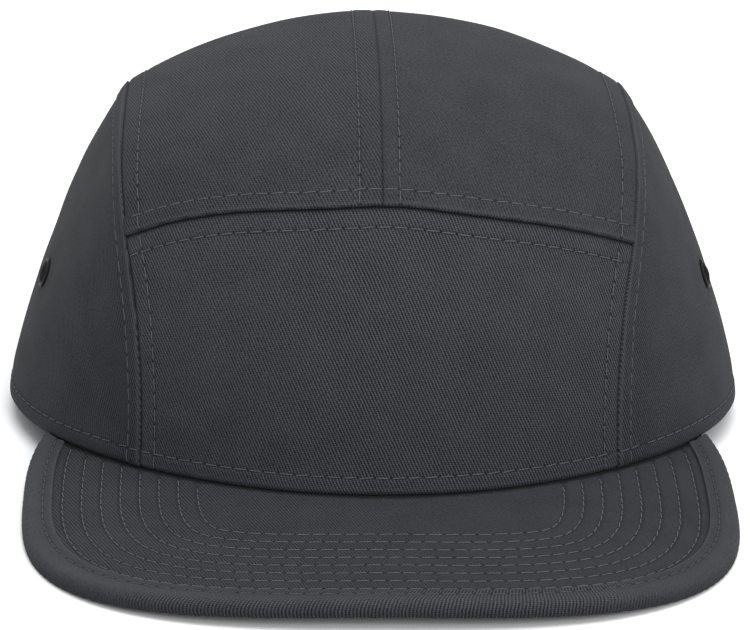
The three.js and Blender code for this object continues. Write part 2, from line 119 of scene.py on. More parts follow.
def strip(s, w):
    """Point of the crown between the two side seams: s from front to back, w from -1 to 1 across."""
    s, w = np.broadcast_arrays(np.asarray(s, float), np.asarray(w, float))
    k = along("round", s)
    share = (1 - np.sqrt(1 - (k * w) ** 2)) / (1 - np.sqrt(1 - k * k))
    y = along("mid_y", s) * (1 - share) + along("seam_y", s) * share
    z = along("mid_z", s) * (1 - share) + along("seam_z", s) * share
    return np.stack([along("seam_x", s) * w, y, z], -1)


def outward(points):
    """Direction that the cloth's thickness is laid in, level along the lower edge."""
    sizes = np.stack([np.full(points.shape[:-1], RIM_HALF_WIDTH), rim_length(points[..., 1])], -1)
    sizes = np.concatenate([sizes, np.full(points.shape[:-1] + (1,), CROWN_HEIGHT)], -1)
    normal = points / sizes**2
    return normal / np.linalg.norm(normal, axis=-1, keepdims=True)


def face_normals(points, towards):
    """Normals of a grid of points, on the side that towards points to."""
    normal = np.cross(np.gradient(points, axis=0), np.gradient(points, axis=1))
    normal /= np.linalg.norm(normal, axis=-1, keepdims=True) + 1e-12
    return normal * np.sign((normal * towards).sum(-1, keepdims=True))


def run_of(curve):
    """Length run along a curve at each of its points."""
    legs = np.linalg.norm(np.diff(curve, axis=0), axis=-1)
    return np.concatenate([[0], np.cumsum(legs)])


def spread(length, spacing):
    """Places from 0 to length whose steps follow spacing(place)."""
    places = [0.0]
    while places[-1] < length:
        places.append(places[-1] + spacing(places[-1]))
    return np.array(places) * (length / places[-1])


FINE_STEP = 0.45
PLAIN_STEP = 1.3
FINE_BAND = 7.5


def fine_near(*edges):
    """Spacing that is fine beside the places where cloth is folded and stitched."""

    def spacing(place):
        reach = min(abs(place - edge) for edge in edges)
        return FINE_STEP + (PLAIN_STEP - FINE_STEP) * float(smooth(FINE_BAND, FINE_BAND + 5, reach))

    return spacing


def smooth(low, high, x):
    t = np.clip((x - low) / (high - low), 0, 1)
    return t * t * (3 - 2 * t)


def nearest(points, curve):
    """Distance of each point from a curve, and how far along the curve its nearest place is."""
    flat = points.reshape(-1, 3)
    run = run_of(curve)
    distance = np.empty(len(flat))
    place = np.empty(len(flat))
    start, leg = curve[:-1], np.diff(curve, axis=0)
    square = (leg**2).sum(-1)
    for low in range(0, len(flat), 2000):
        part = flat[low : low + 2000, None]
        share = np.clip(((part - start) * leg).sum(-1) / square, 0, 1)
        gap = np.linalg.norm(part - start - share[..., None] * leg, axis=-1)
        best = gap.argmin(1)
        rows = np.arange(len(best))
        distance[low : low + 2000] = gap[rows, best]
        place[low : low + 2000] = run[best] + share[rows, best] * np.sqrt(square[best])
    return distance.reshape(points.shape[:-1]), place.reshape(points.shape[:-1])


STITCH_PITCH = 4.0


def turned_edge(distance, row, raised, valley):
    """Height of cloth beside a seam: its edge is turned under, which lifts it as far as the stitches."""
    return raised * (1 - smooth(row - 0.5, row + 1.2, distance)) - valley * np.exp(-((distance / 0.6) ** 2))


def crossing(field, value, axis, *grids):
    """The lines of a grid on which a field passes a value, and what the grids hold at those places."""
    if axis == 0:
        field = field.T
        grids = [grid.swapaxes(0, 1) for grid in grids]
    known = np.isfinite(field[:, 1:]) & np.isfinite(field[:, :-1])
    past = known & ((field[:, 1:] > value) != (field[:, :-1] > value))
    lines = np.nonzero(past.any(1))[0]
    at = past[lines].argmax(1)
    low, high = field[lines, at], field[lines, at + 1]
    share = ((value - low) / (high - low))[:, None]
    return lines, [grid[lines, at] * (1 - share) + grid[lines, at + 1] * share for grid in grids]


def needle_rows(points, rows):
    """What rows of stitches do to a grid of cloth: depth, marks for the material, and run on the lines.

    A row is a field of distances from an edge, the distance that it keeps, and the axis that it crosses."""
    shape = points.shape[:2]
    depth, marks, places = np.zeros(shape), {"sewn": np.zeros(shape), "along": np.zeros(shape)}, []
    for field, value, axis in rows:
        lines, (spots,) = crossing(field, value, axis, points)
        place = np.interp(np.arange(points.shape[1 - axis]), lines, run_of(spots))
        places.append(place)
        gap = np.nan_to_num(field - value, nan=99.0)
        beside = np.exp(-((gap / 0.8) ** 2))
        depth = np.maximum(depth, 0.2 * np.exp(-((gap / 0.65) ** 2)))
        run = place[None] if axis == 0 else place[:, None]
        marks["along"] = np.where(beside > marks["sewn"], run, marks["along"])
        marks["sewn"] = np.maximum(marks["sewn"], beside)
    return depth, marks, places


def slack(points, seed, height, *edges):
    """Broad shallow waves, as cloth has that is sewn but not stretched; none at its edges."""
    draw = np.random.default_rng(seed)
    wave = np.zeros(points.shape[:-1])
    for length in (52, 38, 27, 19, 13):
        heading = draw.normal(size=3)
        heading /= np.linalg.norm(heading)
        wave += length / 52 * np.sin((points @ heading) * 2 * math.pi / length + draw.uniform(0, 6.28))
    return height * wave / 2.5 * smooth(0, 12, np.minimum.reduce(edges))


STAND_TIP = math.radians(-3.193623)
STAND_SHIFT = np.array([0.0, 33.996778, 4.493586])


def stand(points):
    """From the cap's own frame in millimetres to the place where it stands, in metres, flat on the table."""
    x, y, z = np.moveaxis(np.asarray(points, float), -1, 0)
    back = y * math.cos(STAND_TIP) - z * math.sin(STAND_TIP)
    up = y * math.sin(STAND_TIP) + z * math.cos(STAND_TIP)
    placed = np.stack([x, back, up], -1) + STAND_SHIFT
    placed[..., 2] = np.maximum(placed[..., 2], 0)
    return placed / 1000


def mesh_of(name, points, faces, cloth=None, marks=None):
    """Mesh from points, faces, the cloth's own flat coordinates in millimetres, and values per point."""
    mesh = bpy.data.meshes.new(name)
    mesh.from_pydata(stand(points).tolist(), [], faces)
    mesh.update()
    corner = np.empty(len(mesh.loops), int)
    mesh.loops.foreach_get("vertex_index", corner)
    if cloth is not None:
        layer = mesh.uv_layers.new(name="cloth")
        layer.data.foreach_set("uv", np.asarray(cloth, float)[corner].ravel())
    for mark, values in (marks or {}).items():
        layer = mesh.attributes.new(mark, "FLOAT", "POINT")
        layer.data.foreach_set("value", np.asarray(values, float).ravel())
    mesh.shade_smooth()
    return mesh


def sheet_faces(rows, columns):
    """Faces of a closed sheet: one grid, the same grid behind it, and the walls round their edges."""
    front = np.arange(rows * columns).reshape(rows, columns)
    back = front + rows * columns
    quads = []
    for grid, turn in ((front, 1), (back, -1)):
        corners = (grid[:-1, :-1], grid[1:, :-1], grid[1:, 1:], grid[:-1, 1:])
        quads.append(np.stack(corners[::turn], -1).reshape(-1, 4))
    rim = np.concatenate([front[0], front[1:, -1], front[-1, -2::-1], front[-2:0:-1, 0]])
    under = rim + rows * columns
    quads.append(np.stack([rim, np.roll(rim, -1), np.roll(under, -1), under], -1))
    return np.concatenate(quads)


def cloth_mesh(name, outer, inner, cloth, marks):
    """Closed mesh of a piece of cloth from its two faces."""
    rows, columns = outer.shape[:2]
    quads = sheet_faces(rows, columns)
    points = np.concatenate([outer.reshape(-1, 3), inner.reshape(-1, 3)])
    sides = points[quads[: (rows - 1) * (columns - 1)]]
    normal = np.cross(sides[:, 2] - sides[:, 0], sides[:, 3] - sides[:, 1])
    thick = (outer - inner)[:-1, :-1].reshape(-1, 3)
    if (normal * thick).sum() < 0:
        quads = quads[:, ::-1]
    inside = np.zeros(rows * columns)
    both = {mark: np.concatenate([np.ravel(values), inside]) for mark, values in marks.items()}
    flat = np.asarray(cloth).reshape(-1, 2)
    return mesh_of(name, points, quads.tolist(), np.concatenate([flat, flat]), both)


def piece(name, mesh, material, nodes=()):
    """A finished piece of the cap that stands for CAD nodes."""
    made = bpy.data.objects.new(name, mesh)
    bpy.context.collection.objects.link(made)
    made.data.materials.append(material)
    if nodes:
        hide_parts(*nodes)
    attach(made, "root")
    return made


THREAD_RADIUS = 0.17
STITCH_LENGTH = 3.75


def stitching(name, material, rows, radius=THREAD_RADIUS):
    """One piece of all the stitches of some rows: grid of cloth, its normals, row, and run on its lines."""
    points, faces, count = [], [], 0
    rings, turn = np.linspace(-1, 1, 7), np.linspace(0, 2 * math.pi, 7)[:-1]
    sides = len(turn)
    draw = np.random.default_rng(5)
    for cloth, normals, (field, value, axis), place in rows:
        lines, (curve, up) = crossing(field, value, axis, cloth, normals)
        run = place[lines]
        centre = np.arange(math.ceil(run[0] / STITCH_PITCH), math.floor(run[-1] / STITCH_PITCH)) + 0.5
        if not len(centre):
            continue
        centre = centre * STITCH_PITCH + draw.uniform(-0.12, 0.12, len(centre))
        spread_out = centre[:, None] + rings * STITCH_LENGTH / 2
        spot = np.stack([np.interp(spread_out, run, curve[:, k]) for k in range(3)], -1)
        lift = np.stack([np.interp(spread_out, run, up[:, k]) for k in range(3)], -1)
        lift /= np.linalg.norm(lift, axis=-1, keepdims=True)
        ahead = np.gradient(spot, axis=1)
        ahead /= np.linalg.norm(ahead, axis=-1, keepdims=True)
        across = np.cross(lift, ahead)
        slant = draw.normal(0.08, 0.06, (len(centre), 1)) * rings
        height = radius * (0.75 - 2.2 * rings**8)
        spot = spot + across * slant[..., None] + lift * height[None, :, None]
        size = radius * np.sqrt(np.maximum(0.12, 1 - 0.75 * rings**8))
        circle = np.cos(turn)[:, None] * across[:, :, None] + np.sin(turn)[:, None] * lift[:, :, None] * 0.8
        points.append((spot[:, :, None] + circle * size[None, :, None, None]).reshape(-1, 3))
        for _ in centre:
            for i in range(len(rings) - 1):
                low, high = count + i * sides, count + (i + 1) * sides
                for j in range(sides):
                    faces.append((low + j, low + (j + 1) % sides, high + (j + 1) % sides, high + j))
            last = count + (len(rings) - 1) * sides
            faces.append(tuple(range(count + sides - 1, count - 1, -1)))
            faces.append(tuple(range(last, last + sides)))
            count = last + sides
    piece(name, mesh_of(name, np.concatenate(points), faces), material)


class Wire:
    """A value on its way through a material's nodes. Python's operators on it add Math nodes."""

    def __init__(self, tree, socket=None):
        self.tree = tree
        self.socket = socket

    def node(self, kind, settings=None, inputs=None, output=None):
        made = self.tree.nodes.new(kind)
        for name, value in (settings or {}).items():
            setattr(made, name, value)
        for name, value in (inputs or {}).items():
            if isinstance(name, int):
                socket = made.inputs[name]
            else:
                socket = next(s for s in made.inputs if s.name == name and s.enabled)
            if isinstance(value, Wire):
                self.tree.links.new(value.socket, socket)
            else:
                socket.default_value = value
        if output is None:
            return Wire(self.tree, next((s for s in made.outputs if s.enabled), None))
        return Wire(self.tree, made.outputs[output])

    def math(self, operation, *values):
        inputs = dict(enumerate((self, *values)))
        return self.node("ShaderNodeMath", {"operation": operation}, inputs)

    def __add__(self, other):
        return self.math("ADD", other)

    def __sub__(self, other):
        return self.math("SUBTRACT", other)

    def __mul__(self, other):
        return self.math("MULTIPLY", other)

    def __truediv__(self, other):
        return self.math("DIVIDE", other)

    def __pow__(self, other):
        return self.math("POWER", other)

    def __rsub__(self, other):
        return self.node("ShaderNodeMath", {"operation": "SUBTRACT"}, {0: other, 1: self})

    __radd__ = __add__
    __rmul__ = __mul__

    def part(self, index):
        """One of the three values of a vector."""
        return self.node("ShaderNodeSeparateXYZ", inputs={0: self}, output=index)

    def mark(self, name):
        """A value that the mesh carries at its points."""
        return self.node("ShaderNodeAttribute", {"attribute_name": name}, output=2)

    def wave(self):
        """From 0 to 1 and back once for each whole step of the value."""
        return (self * (2 * math.pi)).math("SINE") * 0.5 + 0.5

    def mixed(self, low, high):
        """Colour between low and high, by this value."""
        settings = {"data_type": "RGBA", "clamp_factor": True}
        return self.node("ShaderNodeMix", settings, {"Factor": self, "A": low, "B": high})


def shade(colour, factor):
    return tuple(c * factor for c in colour[:3]) + (1.0,)


def new_material(name):
    material = bpy.data.materials.new(name)
    material.use_nodes = True
    tree = material.node_tree
    tree.nodes.clear()
    return material, Wire(tree)


def surface_of(start, **values):
    """Principled surface with the given sockets, joined to the material's output."""
    names = {key.replace("_", " ").title().replace("Ior", "IOR"): value for key, value in values.items()}
    surface = start.node("ShaderNodeBsdfPrincipled", inputs=names)
    start.node("ShaderNodeOutputMaterial", inputs={"Surface": surface})


TWILL_COLOUR = (0.0232, 0.0240, 0.0273, 1.0)
RIB_PITCH = 0.75
RIB_ANGLE = math.radians(66)
WEFT_STEP = 0.49


def twill_material(name, colour, contrast, angle=RIB_ANGLE, pitch=RIB_PITCH, depth=0.0001):
    """Cotton twill: slanting ribs crossed by weft rows, on the cloth's flat coordinates in millimetres.

    Marks on the mesh say where it is sewn and how far along, where folds get a painted highlight, where
    painted shade goes in seams, under raised edges and on the binding's underside, and where the nap hides
    the ribs."""
    material, start = new_material(name)
    flat = start.node("ShaderNodeUVMap", {"uv_map": "cloth"})
    broad = start.node("ShaderNodeTexNoise", inputs={"Vector": flat, "Scale": 0.1, "Detail": 3.0})
    fine = start.node("ShaderNodeTexNoise", inputs={"Vector": flat, "Scale": 1.6, "Detail": 2.0})
    sewn, place, fold_highlight, painted_shade, nap = (start.mark(m) for m in ("sewn", "along", "fold_highlight", "painted_shade", "nap"))
    across, upward = flat.part(0), flat.part(1)
    drift = (broad - 0.5) * 0.5 + (fine - 0.5) * 0.16
    rib = ((across * math.sin(angle) + upward * math.cos(angle) + drift) / pitch).wave()
    weft = ((upward + across * 0.07 + (fine - 0.5) * 0.1) / WEFT_STEP).wave()
    height = (rib * (weft * 0.6 + 0.4) - 0.36) * (1 - nap)
    hole = (place / STITCH_PITCH + 0.25).wave() ** 12
    # Painted shade: a thin dark line along each row of stitches, darker at the needle holes.
    seamed = ((sewn - 0.6) * 2.5).math("MAXIMUM", 0.0) * (hole * 0.6 + 0.25)
    tone = height * contrast + (fine - 0.5) * 0.8 + (broad - 0.5) * 0.25 + 0.4
    body = tone.mixed(shade(colour, 0.25), shade(colour, 2.2))
    # Painted highlight along folded edges, then painted shade in seams, under edges and along stitches.
    highlighted = (fold_highlight * 0.6).mixed(body, shade(colour, 2.2))
    dark = seamed.math("MAXIMUM", painted_shade) * 0.92
    last = dark.mixed(highlighted, shade(colour, 0.12))
    relief = height - seamed * 2
    bump = start.node("ShaderNodeBump", inputs={"Strength": 1.0, "Distance": depth, "Height": relief})
    surface_of(start, base_color=last, roughness=0.95, specular_ior_level=0.1, sheen_weight=0.02, normal=bump)
    return material


def thread_material(name, colour):
    """Spun thread with a fine grain."""
    material, start = new_material(name)
    place = start.node("ShaderNodeTexCoord", output=3)
    grain = start.node("ShaderNodeTexNoise", inputs={"Vector": place, "Scale": 2600.0, "Detail": 2.0})
    body = grain.mixed(shade(colour, 0.6), shade(colour, 1.4))
    bump = start.node("ShaderNodeBump", inputs={"Strength": 0.6, "Distance": 0.00006, "Height": grain})
    surface_of(start, base_color=body, roughness=0.8, specular_ior_level=0.2, normal=bump)
    return material


SIDE_ROW = 4.1
FRONT_SIDE_ROW = 4.9
FRONT_TOP_ROW = 5.5
HEM_ROW = 4.3
SEAM_PEAK = 0.036
SEAM_BOW = 0.095
SEAM_DROP = 0.05
SEAM_SAG = 0.04
# The front panel's copy of the twill is made lighter: painted light for its facing the front lamp, and partly
# making up for tone that its stronger rib contrast loses.
front_twill = twill_material("charcoal twill", shade(TWILL_COLOUR, 1.17), 1.25)
thread = thread_material("charcoal thread", (0.054, 0.056, 0.063, 1.0))

dense = np.linspace(0, LAST_SECTION, 1101)
mid_run = run_of(strip(dense, 0.0))
seam_curve = strip(dense, 1.0)


def front_seam(w):
    """Where the front panel ends: a little higher at the middle, and bowed up on the wearer's right."""
    peak = SEAM_PEAK * np.exp(-((w / 0.22) ** 2))
    bow = SEAM_BOW * smooth(0.1, 0.75, -w) - SEAM_DROP * smooth(0.8, 1.05, -w)
    return FRONT_SEAM + peak + bow - SEAM_SAG * smooth(0.05, 0.5, w)


quarter_turn = np.linspace(0, math.pi / 2, 181)
rim_y = np.concatenate([-RIM_FRONT * np.cos(quarter_turn), RIM_BACK * np.sin(quarter_turn)[1:]])
left_rim = np.stack([rim_x(rim_y), rim_y, np.zeros_like(rim_y)], -1)
rim_curve = np.concatenate([left_rim, left_rim[-2::-1] * (-1, 1, 1)])


def flat_cloth(points, middle):
    """Flat coordinates of a grid of cloth: run across its rows from a middle column, and run up it."""
    steps = np.linalg.norm(np.diff(points, axis=1), axis=-1)
    across = np.concatenate([np.zeros((len(points), 1)), np.cumsum(steps, 1)], 1)
    across -= across[:, middle : middle + 1]
    upward = run_of(points[:, middle])[:, None] + np.zeros_like(across)
    return np.stack([across, upward], -1)


def closeness(distance, row, width=0.75):
    return np.exp(-(((distance - row) / width) ** 2))


half_width = float(along("seam_x", 1.5))
front_across = spread(2 * half_width, fine_near(0, 2 * half_width))
front_w = front_across / half_width - 1
front_end = np.interp(front_seam(front_w), dense, mid_run)
front_share = spread(front_end[0], fine_near(0, front_end[0])) / front_end[0]
front_s = np.interp(front_share[:, None] * front_end[None], mid_run, dense)
front = strip(front_s, front_w[None])
front_out = face_normals(front, outward(front))
seam_w = np.linspace(-1, 1, 241)
front_seam_curve = strip(front_seam(seam_w), seam_w)
to_right, _ = nearest(front, seam_curve * (-1, 1, 1))
to_left, _ = nearest(front, seam_curve)
to_top, _ = nearest(front, front_seam_curve)
to_hem, _ = nearest(front, rim_curve)
front_rows = [
    (np.where(front_w < 0, to_right, np.nan), FRONT_SIDE_ROW, 1),
    (np.where(front_w > 0, to_left, np.nan), FRONT_SIDE_ROW, 1),
    (to_top, FRONT_TOP_ROW, 0),
    (to_hem, HEM_ROW, 0),
]
pull, front_marks, front_places = needle_rows(front, front_rows)
front_relief = (
    turned_edge(to_right, FRONT_SIDE_ROW, 0.2, 0.6)
    + turned_edge(to_left, FRONT_SIDE_ROW, 0.2, 0.6)
    + turned_edge(to_top, FRONT_TOP_ROW, 0.2, 0.9)
    + turned_edge(to_hem, HEM_ROW, 0.3, 0.8)
    + slack(front, 11, 0.4, to_right, to_left, to_top, to_hem)
    - pull
)
front_outer = front + front_out * front_relief[..., None]
front_inner = front - outward(front) * PANEL_CLOTH
# Painted highlight along the turned hem; painted shade in the side seams and a painted shadow line under the
# top panels' front edge.
front_marks["fold_highlight"] = closeness(to_hem, 1.0, 0.7) * 0.4
beside_seam = closeness(np.minimum(to_right, to_left), 0, 0.6)
front_marks["painted_shade"] = np.maximum(beside_seam, closeness(to_top, 0.3, 0.9))
front_marks["nap"] = 0.35 * smooth(8, 45, -front[..., 0])
front_flat = flat_cloth(front, front.shape[1] // 2)
front_mesh = cloth_mesh("front_panel_cloth", front_outer, front_inner, front_flat, front_marks)
piece("front_panel_cloth", front_mesh, front_twill, ["front_panel"])
threads = [(front_outer, front_out, row, place) for row, place in zip(front_rows, front_places)]
stitching("front_panel_stitching", thread, threads)

# Top panels
# Two long panels that meet in a seam over the middle of the head, of the same twill. Their front ends are
# turned under over the front panel, and behind they are cut away in an arch and hemmed for the strap.
OPENING_HALF_WIDTH = 40.0
OPENING_HEIGHT = 46.0
CENTRE_ROWS = {"left": 4.2, "right": 5.6}
TOP_SIDE_ROW = 5.2
TOP_FRONT_ROW = 3.9
ARCH_ROW = 4.5
ARCH_STEP = 0.03
GRAIN_TURN = 0.0032
GRAIN_REACH = 90.0
TOP_NAP = {"left": 0.35, "right": 0.1}
top_twill = twill_material("charcoal twill over the head", TWILL_COLOUR, 1.6)


def solve(rising, low, high):
    """The value between low and high at which a rising function reaches zero."""
    for _ in range(40):
        middle = (low + high) / 2
        below = rising(middle) < 0
        low, high = np.where(below, middle, low), np.where(below, high, middle)
    return (low + high) / 2


opening_share = OPENING_HALF_WIDTH / float(along("seam_x", LAST_SECTION))
opening_place = opening_share * TOP_HALF_WIDTH


def top_spacing(place):
    """Fine beside both seams, and finer still where the arch meets the lower edge."""
    arch = ARCH_STEP * math.sqrt(2 * OPENING_HALF_WIDTH * abs(place - opening_place))
    return min(fine_near(0, TOP_HALF_WIDTH)(place), max(arch, 0.05))


top_w = spread(TOP_HALF_WIDTH, top_spacing) / TOP_HALF_WIDTH


def over_opening(s):
    x, _, z = np.moveaxis(strip(s, top_w), -1, 0)
    return OPENING_HEIGHT * np.sqrt(1 - np.minimum(1, x / OPENING_HALF_WIDTH) ** 2) - z


low_s = np.full(top_w.shape, float(TOP_OF_BACK))
opening_s = solve(over_opening, low_s, np.full(top_w.shape, float(LAST_SECTION)))
opening_s = np.where(top_w >= opening_share, LAST_SECTION, opening_s)
end_run = np.interp(opening_s, dense, mid_run)
opening_curve = strip(opening_s[top_w <= opening_share], top_w[top_w <= opening_share])

for side, hand in ((1, "left"), (-1, "right")):
    start_run = np.interp(front_seam(side * top_w), dense, mid_run)
    longest = (end_run - start_run).max()
    top_share = spread(longest, fine_near(0, longest)) / longest
    top_run = start_run + top_share[:, None] * (end_run - start_run)[None]
    top_s = np.interp(top_run, mid_run, dense)
    top = strip(top_s, top_w[None])
    top_out = face_normals(top, outward(top))
    to_centre, _ = nearest(top, strip(dense, 0.0))
    to_side, _ = nearest(top, seam_curve)
    to_front, _ = nearest(top, strip(front_seam(side * seam_w), seam_w))
    to_arch, _ = nearest(top, opening_curve)
    to_foot, _ = nearest(top, rim_curve)
    behind = top_s > TOP_OF_BACK
    top_flat = flat_cloth(top.swapaxes(0, 1), 0)[..., ::-1].swapaxes(0, 1)
    turned_run = np.minimum(top_flat[..., 1], GRAIN_REACH)
    past_run = top_flat[..., 1] - turned_run
    top_flat[..., 1] -= GRAIN_TURN * turned_run**2 + 2 * GRAIN_TURN * GRAIN_REACH * past_run
    centre_row = CENTRE_ROWS[hand]
    rows = [
        (to_centre, centre_row, 1),
        (np.where(top_w > 0.5, to_side, np.nan), TOP_SIDE_ROW, 1),
        (np.where(behind, np.nan, to_front), TOP_FRONT_ROW, 0),
        (np.where(behind, to_arch, np.nan), ARCH_ROW, 0),
        (np.where(behind & (top_w > opening_share), to_foot, np.nan), HEM_ROW, 0),
    ]
    pull, marks, places = needle_rows(top, rows)
    mirror = (side, 1, 1)
    normals = top_out * mirror
    base = top * mirror
    relief = (
        turned_edge(to_centre, centre_row, 0.2, 0.2)
        + turned_edge(to_side, TOP_SIDE_ROW, 0.2, 0.5)
        + turned_edge(to_front, TOP_FRONT_ROW, 0.8, 0.0)
        + turned_edge(to_arch, ARCH_ROW, 0.4, 0.4)
        + turned_edge(to_foot, HEM_ROW, 0.4, 0.4)
        + slack(base, 23 + side, 0.4, to_centre, to_side, to_front, to_arch, to_foot)
        - pull
    )
    outer = base + normals * relief[..., None]
    inner = (top - outward(top) * PANEL_CLOTH) * mirror
    # Painted highlight along the turned front edge; painted shade in the middle seam and the side seam.
    marks["fold_highlight"] = closeness(to_front, 0.5, 0.5) * 0.35
    marks["painted_shade"] = np.maximum(closeness(to_centre, 0, 0.3) * 0.5, closeness(to_side, 0, 0.5))
    marks["nap"] = TOP_NAP[hand] + 0.45 * smooth(50, 85, top_run)
    mesh = cloth_mesh(f"top_panel_{hand}_cloth", outer, inner, top_flat * (side, 1), marks)
    piece(f"top_panel_{hand}_cloth", mesh, top_twill, [f"top_panel_{hand}"])
    threads = [(outer, normals, row, place) for row, place in zip(rows, places)]
    stitching(f"top_panel_{hand}_stitching", thread, threads)

# Side panels
# A D shaped panel on each side, from the front panel round to the back, of the same twill. Its curved edge
# is joined to the front and top panels in one seam, and its straight edge is the hem beside the ear.
SIDE_COLUMNS = 300
SIDE_BAND = 7.0
SIDE_HEIGHT = 75.0
FOOT_HEIGHT = 15.0
EYELET_RADIUS = 3.9
EYELET_BACK = -15.0
EYELET_HEIGHT = 35.5
DENT_PLACE = np.array([-69.0, -60.0, 14.0])
DENT_WIDTH = 12.0
DENT_DEPTH = 1.8


def side_x(y, z):
    """Half width of a side panel at y and z, bowed between the rim and the seam above it."""
    s = np.interp(y, seam_curve[:, 1], dense)
    v = np.clip(z / np.maximum(along("seam_z", s), 1e-3), 0, 1)
    bow = (1 - SIDE_TURN_SHARE) * v**SIDE_BOW + SIDE_TURN_SHARE * v**SIDE_TURN_POWER
    low = rim_x(y)
    return low + (along("seam_x", s) - low) * bow


side_run = run_of(seam_curve)
share_round = np.linspace(0, 1, SIDE_COLUMNS)
seam_view = strip(np.interp(share_round * side_run[-1], side_run, dense), 1.0)[:, 1:]
ahead = np.gradient(seam_view, axis=0)
into = np.stack([ahead[:, 1], -ahead[:, 0] * smooth(0, FOOT_HEIGHT, seam_view[:, 1])], -1)
into /= np.linalg.norm(into, axis=-1, keepdims=True)
band_depth = np.linspace(0, SIDE_BAND, 18)
side_band = seam_view + band_depth[:, None, None] * into
hem_y = seam_view[[0, -1], 0] + np.array([1, -1]) * (SIDE_BAND + 2)
hem_y = hem_y[0] + (hem_y[1] - hem_y[0]) * share_round**2 * (3 - 2 * share_round)
hem_view = np.stack([hem_y, np.zeros(SIDE_COLUMNS)], -1)
side_v = spread(SIDE_HEIGHT, fine_near(SIDE_HEIGHT))[1:, None, None] / SIDE_HEIGHT
side_view = np.concatenate([side_band, side_band[-1] * (1 - side_v) + hem_view * side_v])
side_y, side_z = side_view[..., 0], np.maximum(side_view[..., 1], 0)
sides = np.stack([side_x(side_y, side_z), side_y, side_z], -1)
side_out = face_normals(sides, outward(sides))
to_seam, _ = nearest(sides, seam_curve)
to_rim, _ = nearest(sides, rim_curve)
in_band = (np.arange(len(side_view)) < len(side_band))[:, None]
front_half = share_round < 0.5
side_rows = [
    (to_seam, SIDE_ROW, 0),
    (np.where(in_band, np.nan, to_rim), HEM_ROW, 0),
    (np.where(in_band & front_half, to_rim, np.nan), HEM_ROW, 1),
    (np.where(in_band & ~front_half, to_rim, np.nan), HEM_ROW, 1),
]
pull, side_marks, side_places = needle_rows(sides, side_rows)
side_relief = turned_edge(to_seam, SIDE_ROW, 0.42, 0.1) + turned_edge(to_rim, HEM_ROW, 0.25, 0.7) - pull
# Painted highlight on the side panel's folded edge beside the seam.
side_marks["fold_highlight"] = closeness(to_seam, 0.4, 0.45)
side_marks["nap"] = 0.5 * smooth(SIDE_ROW, 12, to_seam) + 0 * to_seam
eyelet_place = np.array([0.0, EYELET_BACK, EYELET_HEIGHT])
eyelet_place[0] = side_x(EYELET_BACK, EYELET_HEIGHT)
eased = smooth(EYELET_RADIUS, 3 * EYELET_RADIUS, np.linalg.norm(sides - eyelet_place, axis=-1))
side_flat = np.stack([np.interp(side_y, rim_y, run_of(left_rim)), side_z * 1.08], -1)
# The side panels' copy of the twill is darker: painted shade, as the sides get less light.
side_twill = twill_material("charcoal twill beside the ears", shade(TWILL_COLOUR, 0.92), 1.2)

for side, hand in ((1, "left"), (-1, "right")):
    mirror = (side, 1, 1)
    normals = side_out * mirror
    base = sides * mirror
    dent = DENT_DEPTH * closeness(np.linalg.norm(base - DENT_PLACE, axis=-1), 0, DENT_WIDTH)
    dent *= smooth(0, 9, np.minimum(to_seam, to_rim))
    relief = side_relief + slack(base, 41 + side, 0.45, to_seam, to_rim) * eased - dent
    outer = base + normals * relief[..., None]
    inner = (sides - outward(sides) * PANEL_CLOTH) * mirror
    mesh = cloth_mesh(f"side_panel_{hand}_cloth", outer, inner, side_flat * (side, 1), side_marks)
    piece(f"side_panel_{hand}_cloth", mesh, side_twill, [f"side_panel_{hand}"])
    threads = [(outer, normals, row, place) for row, place in zip(side_rows, side_places)]
    stitching(f"side_panel_{hand}_stitching", thread, threads)

# Sweatband
# A band of plain darker cotton inside the lower edge, from one side of the opening round the forehead to the
# other. It is sewn into the hem and stands free above it.
BAND_CLOTH = 1.4
BAND_GAP = 0.3
BAND_LOW = 0.8
BAND_HIGH = 30.0
BAND_END_SHARE = 0.83
BAND_ROW = 3.5
BAND_COLOUR = (0.034, 0.035, 0.040, 1.0)


def ring(turn, z, side):
    """Round the crown at height z: turn 0 to 1 over the front, to 2 along a side, to 3 to the middle back."""
    turn, z = np.broadcast_arrays(np.asarray(turn, float), np.asarray(z, float))
    zero = np.zeros(turn.shape)

    def lower(w):
        return solve(lambda s: strip(s, w)[..., 2] - z, zero, zero + TOP_OF_FRONT)

    def upper(w):
        return solve(lambda s: z - strip(s, w)[..., 2], zero + TOP_OF_BACK, zero + LAST_SECTION)

    front_w, back_w = np.clip(turn, 0, 1), np.clip(3 - turn, 0, 1)
    over_front = strip(lower(front_w), front_w)
    over_back = strip(upper(back_w), back_w)
    start, end = along("seam_y", lower(zero + 1)), along("seam_y", upper(zero + 1))
    y = start + (end - start) * np.clip(turn - 1, 0, 1)
    beside = np.stack([side_x(y, z), y, z], -1)
    pick = np.where(turn <= 1, 0, np.where(turn <= 2, 1, 2))[..., None]
    found = np.where(pick == 0, over_front, np.where(pick == 1, beside, over_back))
    return found * np.stack([side + zero, zero + 1, zero + 1], -1)


